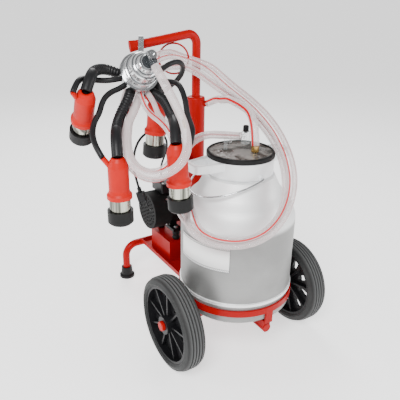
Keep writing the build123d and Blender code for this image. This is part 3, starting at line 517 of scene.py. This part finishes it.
# Hoses and the mains cord: control points as in the CAD part, from the fitting outwards.
toCamera = -forward
hoseFineness = 7  # line points per control point
hoses = {
    "milk_hose": {
        "diameter": 0.021,
        "wall": 0.003,
        "length": 2.06,
        "sides": 28,
        "slot": "clear_hose",
        "stripe": Vector((0.6, 0.3, 0.7)),
        "points": [
            (-0.218, 0.073, 0.829), (-0.212, 0.047, 0.800), (-0.207, 0.021, 0.771),
            (-0.203, -0.006, 0.742), (-0.204, -0.038, 0.714), (-0.215, -0.071, 0.688),
            (-0.226, -0.090, 0.660), (-0.253, -0.095, 0.632), (-0.289, -0.082, 0.614),
            (-0.320, -0.053, 0.618), (-0.332, -0.018, 0.638), (-0.322, 0.020, 0.661),
            (-0.308, 0.047, 0.682), (-0.289, 0.078, 0.703), (-0.262, 0.107, 0.716),
            (-0.238, 0.136, 0.729), (-0.216, 0.168, 0.740), (-0.192, 0.199, 0.752),
            (-0.165, 0.226, 0.770), (-0.131, 0.237, 0.787), (-0.094, 0.232, 0.799),
            (-0.060, 0.212, 0.800), (-0.030, 0.191, 0.786), (0.001, 0.175, 0.761),
            (0.031, 0.157, 0.736), (0.054, 0.129, 0.716), (0.065, 0.092, 0.700),
            (0.068, 0.053, 0.683), (0.072, 0.016, 0.663), (0.076, -0.019, 0.639),
            (0.076, -0.052, 0.613), (0.070, -0.081, 0.587), (0.059, -0.108, 0.559),
            (0.044, -0.131, 0.530), (0.025, -0.149, 0.501), (0.000, -0.160, 0.472),
            (-0.032, -0.162, 0.449), (-0.067, -0.155, 0.431), (-0.103, -0.139, 0.422),
            (-0.135, -0.117, 0.422), (-0.162, -0.088, 0.430), (-0.179, -0.055, 0.442),
            (-0.188, -0.016, 0.454), (-0.188, 0.018, 0.476), (-0.176, 0.043, 0.505),
            (-0.165, 0.063, 0.537), (-0.150, 0.076, 0.570), (-0.129, 0.084, 0.601),
            (-0.097, 0.088, 0.627), (-0.059, 0.079, 0.638), (-0.025, 0.054, 0.637),
            (0.020, 0.038, 0.632),
        ],
    },
    "pulse_hose_a": {
        "diameter": 0.014,
        "wall": 0.0024,
        "length": 1.89,
        "sides": 20,
        "slot": "clear_hose",
        "stripe": Vector((-0.2, -0.5, 0.8)),
        "points": [
            (-0.232, 0.129, 0.757), (-0.232, 0.108, 0.726), (-0.229, 0.076, 0.711),
            (-0.224, 0.042, 0.703), (-0.218, 0.011, 0.687), (-0.213, -0.008, 0.655),
            (-0.223, -0.012, 0.620), (-0.251, -0.014, 0.600), (-0.285, -0.006, 0.599),
            (-0.310, 0.010, 0.617), (-0.315, 0.032, 0.643), (-0.302, 0.058, 0.665),
            (-0.287, 0.086, 0.683), (-0.273, 0.115, 0.699), (-0.257, 0.142, 0.716),
            (-0.241, 0.170, 0.733), (-0.220, 0.195, 0.751), (-0.198, 0.216, 0.772),
            (-0.171, 0.230, 0.790), (-0.141, 0.240, 0.805), (-0.109, 0.242, 0.819),
            (-0.077, 0.233, 0.824), (-0.046, 0.210, 0.814), (-0.014, 0.190, 0.799),
            (0.008, 0.170, 0.781), (0.022, 0.145, 0.759), (0.034, 0.116, 0.741),
            (0.044, 0.085, 0.726), (0.051, 0.053, 0.712), (0.057, 0.022, 0.695),
            (0.062, -0.008, 0.676), (0.064, -0.037, 0.657), (0.063, -0.065, 0.635),
            (0.060, -0.092, 0.611), (0.053, -0.116, 0.586), (0.043, -0.138, 0.559),
            (0.027, -0.155, 0.532), (0.007, -0.167, 0.505), (-0.018, -0.174, 0.480),
            (-0.047, -0.175, 0.459), (-0.078, -0.167, 0.444), (-0.110, -0.153, 0.436),
            (-0.140, -0.133, 0.436), (-0.166, -0.108, 0.441), (-0.183, -0.080, 0.453),
            (-0.179, -0.052, 0.472), (-0.168, -0.021, 0.486), (-0.160, 0.013, 0.492),
            (-0.154, 0.051, 0.490), (-0.141, 0.085, 0.493), (-0.121, 0.116, 0.495),
            (-0.099, 0.144, 0.497), (-0.078, 0.173, 0.498), (-0.062, 0.205, 0.495),
        ],
    },
    "pulse_hose_b": {
        "diameter": 0.014,
        "wall": 0.0024,
        "length": 2.06,
        "sides": 20,
        "slot": "clear_hose",
        "stripe": Vector((0.7, -0.3, 0.6)),
        "points": [
            (-0.214, 0.130, 0.759), (-0.205, 0.104, 0.734), (-0.213, 0.074, 0.714),
            (-0.208, 0.049, 0.698), (-0.202, 0.013, 0.686), (-0.197, -0.015, 0.661),
            (-0.199, -0.021, 0.623), (-0.222, -0.015, 0.592), (-0.259, -0.020, 0.578),
            (-0.293, -0.008, 0.583), (-0.313, 0.018, 0.600), (-0.322, 0.039, 0.626),
            (-0.324, 0.057, 0.656), (-0.308, 0.084, 0.674), (-0.292, 0.113, 0.689),
            (-0.278, 0.141, 0.707), (-0.263, 0.169, 0.725), (-0.244, 0.195, 0.744),
            (-0.223, 0.216, 0.764), (-0.200, 0.234, 0.785), (-0.172, 0.247, 0.804),
            (-0.141, 0.251, 0.822), (-0.110, 0.246, 0.834), (-0.076, 0.248, 0.836),
            (-0.050, 0.236, 0.824), (-0.022, 0.214, 0.814), (0.010, 0.180, 0.802),
            (0.028, 0.156, 0.781), (0.041, 0.128, 0.761), (0.051, 0.098, 0.745),
            (0.060, 0.066, 0.730), (0.067, 0.034, 0.714), (0.073, 0.003, 0.696),
            (0.077, -0.027, 0.676), (0.078, -0.056, 0.654), (0.076, -0.083, 0.631),
            (0.072, -0.109, 0.605), (0.064, -0.132, 0.579), (0.052, -0.152, 0.551),
            (0.035, -0.167, 0.523), (0.014, -0.178, 0.496), (-0.011, -0.184, 0.471),
            (-0.039, -0.184, 0.449), (-0.071, -0.177, 0.433), (-0.103, -0.163, 0.423),
            (-0.133, -0.144, 0.420), (-0.160, -0.121, 0.422), (-0.185, -0.099, 0.431),
            (-0.202, -0.076, 0.446), (-0.204, -0.052, 0.461), (-0.181, -0.022, 0.472),
            (-0.164, 0.014, 0.478), (-0.157, 0.058, 0.476), (-0.152, 0.096, 0.485),
            (-0.133, 0.127, 0.495), (-0.111, 0.154, 0.502), (-0.087, 0.176, 0.510),
            (-0.062, 0.205, 0.512),
        ],
    },
    "vacuum_hose": {
        "diameter": 0.022,
        "wall": 0.003,
        "length": 0.301,
        "sides": 28,
        "slot": "clear_hose",
        "stripe": Vector((-0.7, -0.3, 0.5)),
        "points": [
            (0.026, 0.214, 0.686), (0.033, 0.191, 0.698), (0.033, 0.166, 0.707),
            (0.026, 0.139, 0.710), (0.029, 0.112, 0.717), (0.028, 0.082, 0.715),
            (0.031, 0.052, 0.710), (0.032, 0.020, 0.701), (0.024, -0.007, 0.683),
            (0.017, -0.025, 0.656), (0.015, -0.032, 0.624),
        ],
    },
    "suction_hose": {
        "diameter": 0.018,
        "wall": 0.0035,
        "length": 0.156,
        "sides": 20,
        "slot": "black_hose",
        "points": [
            (0.112, 0.350, 0.386), (0.107, 0.345, 0.411), (0.096, 0.333, 0.432),
            (0.080, 0.316, 0.445), (0.062, 0.298, 0.449), (0.044, 0.279, 0.444),
            (0.026, 0.262, 0.440),
        ],
    },
    "power_cord": {
        "diameter": 0.007,
        "wall": 0.0018,
        "length": 0.449,
        "sides": 20,
        "slot": "black_hose",
        "farEnd": "plug",
        "pieces": [nodes["power_plug"]],
        "points": [
            (-0.060, 0.350, 0.424), (-0.061, 0.348, 0.451), (-0.069, 0.331, 0.474),
            (-0.076, 0.310, 0.495), (-0.080, 0.290, 0.517), (-0.083, 0.272, 0.542),
            (-0.087, 0.257, 0.568), (-0.099, 0.246, 0.594), (-0.121, 0.243, 0.613),
            (-0.151, 0.243, 0.619), (-0.178, 0.242, 0.607), (-0.198, 0.238, 0.584),
            (-0.210, 0.231, 0.556), (-0.216, 0.222, 0.527), (-0.214, 0.214, 0.498),
            (-0.208, 0.209, 0.468),
        ],
    },
    "pulse_tube_1": {
        "diameter": 0.014,
        "wall": 0.0024,
        "length": 0.167,
        "sides": 20,
        "slot": "black_hose",
        "points": [
            (-0.269, 0.151, 0.792), (-0.289, 0.151, 0.790), (-0.308, 0.158, 0.788),
            (-0.328, 0.162, 0.790), (-0.350, 0.158, 0.794), (-0.368, 0.147, 0.801),
            (-0.384, 0.133, 0.800), (-0.398, 0.120, 0.792), (-0.409, 0.111, 0.777),
        ],
    },
    "pulse_tube_2": {
        "diameter": 0.014,
        "wall": 0.0024,
        "length": 0.242,
        "sides": 20,
        "slot": "black_hose",
        "points": [
            (-0.263, 0.142, 0.778), (-0.282, 0.138, 0.770), (-0.303, 0.140, 0.764),
            (-0.322, 0.136, 0.754), (-0.336, 0.127, 0.739), (-0.347, 0.115, 0.722),
            (-0.365, 0.107, 0.704), (-0.377, 0.091, 0.686), (-0.384, 0.068, 0.672),
            (-0.386, 0.045, 0.658), (-0.380, 0.029, 0.640),
        ],
    },
    "pulse_tube_3": {
        "diameter": 0.014,
        "wall": 0.0024,
        "length": 0.372,
        "sides": 20,
        "slot": "black_hose",
        "points": [
            (-0.185, 0.155, 0.799), (-0.160, 0.154, 0.803), (-0.135, 0.152, 0.818),
            (-0.106, 0.159, 0.821), (-0.082, 0.174, 0.810), (-0.071, 0.192, 0.788),
            (-0.076, 0.210, 0.764), (-0.090, 0.228, 0.745), (-0.104, 0.249, 0.724),
            (-0.132, 0.262, 0.714), (-0.161, 0.259, 0.715), (-0.183, 0.240, 0.723),
            (-0.187, 0.212, 0.731), (-0.183, 0.193, 0.733),
        ],
    },
    "pulse_tube_4": {
        "diameter": 0.014,
        "wall": 0.0024,
        "length": 0.272,
        "sides": 20,
        "slot": "black_hose",
        "points": [
            (-0.189, 0.143, 0.780), (-0.166, 0.130, 0.778), (-0.152, 0.106, 0.781),
            (-0.149, 0.079, 0.778), (-0.153, 0.054, 0.765), (-0.158, 0.033, 0.748),
            (-0.166, 0.014, 0.731), (-0.174, -0.007, 0.716), (-0.180, -0.030, 0.706),
            (-0.189, -0.054, 0.693), (-0.205, -0.067, 0.673),
        ],
    },
}
milkTubes = {
    "1": [
        (-0.266, 0.175, 0.799), (-0.291, 0.178, 0.810), (-0.317, 0.170, 0.815),
        (-0.338, 0.154, 0.814), (-0.353, 0.133, 0.810), (-0.367, 0.117, 0.797),
        (-0.379, 0.109, 0.777),
    ],
    "2": [
        (-0.249, 0.149, 0.757), (-0.265, 0.130, 0.743), (-0.286, 0.117, 0.723),
        (-0.305, 0.101, 0.704), (-0.322, 0.076, 0.692), (-0.336, 0.048, 0.685),
        (-0.346, 0.025, 0.667), (-0.351, 0.011, 0.642),
    ],
    "3": [
        (-0.190, 0.178, 0.804), (-0.181, 0.178, 0.794), (-0.174, 0.176, 0.783),
        (-0.169, 0.171, 0.772), (-0.167, 0.165, 0.760), (-0.168, 0.160, 0.748),
        (-0.169, 0.158, 0.736),
    ],
    "4": [
        (-0.201, 0.150, 0.759), (-0.188, 0.127, 0.747), (-0.183, 0.099, 0.740),
        (-0.187, 0.070, 0.729), (-0.193, 0.043, 0.717), (-0.201, 0.015, 0.709),
        (-0.213, -0.012, 0.705), (-0.224, -0.034, 0.692), (-0.232, -0.050, 0.671),
    ],
}


def layHose(name, settings):
    line = smoothLine(settings["points"], hoseFineness)
    radius = settings["diameter"] / 2
    hose = hollowTube(
        name + "_look",
        line,
        settings.get("stripe", toCamera),
        lambda along, whole: radius,
        settings["wall"],
        settings["sides"],
        settings["slot"],
    )
    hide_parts(name)


for hoseName, hoseSettings in hoses.items():
    layHose(hoseName, hoseSettings)
print("hoses laid:", len(hoses))


# Milk tubes, corrugated from the claw down to the plain cuff on the cup.
milkTube = {
    "radius": 0.0135,
    "wall": 0.004,
    "rib": 0.0082,
    "ribDepth": 0.0024,
    "plainEnd": 0.35,
    "fade": 0.05,
    "sides": 32,
    "fineness": 24,
}


def corrugatedRadius(along, whole):
    share = along / whole
    fade = min(1.0, max(0.0, (1 - milkTube["plainEnd"] - share) / milkTube["fade"]))
    wave = 0.5 - 0.5 * math.cos(2 * math.pi * along / milkTube["rib"])
    return milkTube["radius"] - milkTube["ribDepth"] * wave * fade


for number, points in milkTubes.items():
    tube = hollowTube(
        "milk_tube_look_" + number,
        smoothLine(points, milkTube["fineness"]),
        toCamera,
        corrugatedRadius,
        milkTube["wall"],
        milkTube["sides"],
        "black_hose",
    )
    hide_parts("milk_tube_" + number)
print("milk tubes made:", len(milkTubes))

# Blank label wrapped on the can.
label = {
    "axisY": 0.009,
    "radius": 0.1605,
    "lift": 0.0004,
    "under": 0.0001,
    "low": 0.319,
    "high": 0.391,
    "from": math.radians(167.0),
    "to": math.radians(227.5),
    "band": 0.007,
    "edge": 0.0010,
    "hatch": 0.006,
    "columns": 48,
}


def makeLabel(settings):
    reach = settings["to"] - settings["from"]
    radius = settings["radius"] + settings["lift"]
    width, height = reach * radius, settings["high"] - settings["low"]
    labelPaper(width, height, settings["band"], settings["edge"], settings["hatch"])
    vertices = []
    for shell in (radius, settings["radius"] + settings["under"]):
        for z in (settings["low"], settings["high"]):
            for k in range(settings["columns"] + 1):
                angle = settings["from"] + reach * k / settings["columns"]
                spot = (shell * math.cos(angle), settings["axisY"] + shell * math.sin(angle), z)
                vertices.append(spot)
    row = settings["columns"] + 1
    faces = []
    uvs = []

    def quad(corners):
        faces.append(corners)
        uvs.append([((c % row) / (row - 1) * width, ((c // row) % 2) * height) for c in corners])

    for k in range(settings["columns"]):
        quad((k, k + 1, row + k + 1, row + k))
        quad((2 * row + k, 3 * row + k, 3 * row + k + 1, 2 * row + k + 1))
        quad((k, 2 * row + k, 2 * row + k + 1, k + 1))
        quad((row + k, row + k + 1, 3 * row + k + 1, 3 * row + k))
    last = row - 1
    quad((0, row, 3 * row, 2 * row))
    quad((last, 2 * row + last, 3 * row + last, row + last))
    meshPiece("label_look", vertices, faces, uvs, "label")


makeLabel(label)
print("label made")

# Screw heads on the terminal box and the fan cowl.
screw = {
    "radius": 0.0032,
    "height": 0.0022,
    "sides": 24,
    "sink": 0.0004,
    "boxTop": 0.413,
    "boxInset": 0.008,
    "cowlInset": 0.010,
    "cowlCount": 4,
    "cowlStart": 45,
}


def screwTree():
    # A round head on every point, turned so that +Z is the point's normal.
    tree = bpy.data.node_groups.new("screws", "GeometryNodeTree")
    face = tree.interface
    face.new_socket("Points", in_out="INPUT", socket_type="NodeSocketGeometry")
    for name in ("Head radius", "Head height"):
        face.new_socket(name, in_out="INPUT", socket_type="NodeSocketFloat")
    face.new_socket("Screw material", in_out="INPUT", socket_type="NodeSocketMaterial")
    face.new_socket("Heads", in_out="OUTPUT", socket_type="NodeSocketGeometry")
    add = tree.nodes.new
    given, result = add("NodeGroupInput"), add("NodeGroupOutput")
    head = add("GeometryNodeMeshCylinder")
    head.inputs["Vertices"].default_value = screw["sides"]
    spread = add("GeometryNodeInstanceOnPoints")
    normal = add("GeometryNodeInputNamedAttribute")
    normal.data_type = "FLOAT_VECTOR"
    normal.inputs["Name"].default_value = "facing"
    turn = add("FunctionNodeAlignRotationToVector")
    turn.axis = "Z"
    realize, paint = add("GeometryNodeRealizeInstances"), add("GeometryNodeSetMaterial")
    links = (
        (given.outputs["Head radius"], head.inputs["Radius"]),
        (given.outputs["Head height"], head.inputs["Depth"]),
        (given.outputs["Points"], spread.inputs["Points"]),
        (head.outputs["Mesh"], spread.inputs["Instance"]),
        (normal.outputs["Attribute"], turn.inputs["Vector"]),
        (turn.outputs["Rotation"], spread.inputs["Rotation"]),
        (spread.outputs["Instances"], realize.inputs["Geometry"]),
        (realize.outputs["Geometry"], paint.inputs["Geometry"]),
        (given.outputs["Screw material"], paint.inputs["Material"]),
        (paint.outputs["Geometry"], result.inputs["Heads"]),
    )
    for start, end in links:
        tree.links.new(start, end)
    return tree


def makeScrews(name, spots, body, slotName):
    mesh = bpy.data.meshes.new(name)
    mesh.from_pydata([spot for spot, way in spots], [], [])
    facing = mesh.attributes.new("facing", "FLOAT_VECTOR", "POINT")
    for item, (spot, way) in zip(facing.data, spots):
        item.vector = way
    seeds = bpy.data.objects.new(name + "_seeds", mesh)
    scene.collection.objects.link(seeds)
    modifier = seeds.modifiers.new("screws", "NODES")
    modifier.node_group = screws
    values = {
        "Head radius": screw["radius"],
        "Head height": screw["height"],
        "Screw material": paints[slotName].material,
    }
    for item in screws.interface.items_tree:
        if item.name in values and item.in_out == "INPUT":
            modifier[item.identifier] = values[item.name]
    shaped = seeds.evaluated_get(bpy.context.evaluated_depsgraph_get())
    made = bpy.data.meshes.new_from_object(shaped)
    bpy.data.objects.remove(seeds)
    piece = bpy.data.objects.new(name, made)
    scene.collection.objects.link(piece)
    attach(piece, body)


screws = screwTree()
boxLow, boxHigh = (Vector(corner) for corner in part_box("terminal_box"))
proud = screw["height"] / 2 - screw["sink"]
inset = screw["boxInset"]
boxCorners = [
    ((x, y, screw["boxTop"] + proud), (0, 0, 1))
    for x in (boxLow.x + inset, boxHigh.x - inset)
    for y in (boxLow.y + inset, boxHigh.y - inset)
]
makeScrews("terminal_screws", boxCorners, "chassis", "bolt")
cowlLow, cowlHigh = (Vector(corner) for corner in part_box("fan_cowl"))
cowlMiddle = (cowlLow + cowlHigh) / 2
cowlEnd = Vector((cowlHigh.x - screw["cowlInset"], cowlMiddle.y, cowlMiddle.z))
reach = (cowlHigh.z - cowlLow.z) / 2 + proud
cowlScrews = []
for k in range(screw["cowlCount"]):
    angle = math.radians(screw["cowlStart"] + 360 * k / screw["cowlCount"])
    way = Vector((0, math.cos(angle), math.sin(angle)))
    cowlScrews.append((cowlEnd + way * reach, way))
makeScrews("cowl_screws", cowlScrews, "chassis", "bolt")
print("screws made:", len(boxCorners) + len(cowlScrews))

# Finishes of the CAD pieces: their record slot, or one of their own.
special = {
    "cup_bands": "band_steel",
    "claw_bowl": "claw_bowl",
    "lid_glass": "lid_glass",
    "fan_cowl": "cowl_black",
}
for part in frame["record"]["subparts"]:
    finish = paints[special.get(part["node"], part["material_slot"])].material
    mesh = nodes[part["node"]].data
    mesh.materials.clear()
    mesh.materials.append(finish)

# Pale floor that glows a little, so that it stays even up to the horizon.
ground = {"size": 120, "height": -0.0005, "colour": (0.92, 0.92, 0.92), "rough": 0.7, "glow": 1.1}
bpy.ops.mesh.primitive_plane_add(size=ground["size"], location=(0, 0, ground["height"]))
floor = bpy.context.object
floor.name = "floor"
floorPaint = Paint("floor", ground["colour"], ground["rough"])
floorPaint.put("Emission Color", (1.0, 1.0, 1.0))
floorPaint.put("Emission Strength", ground["glow"])
floor.data.materials.append(floorPaint.material)
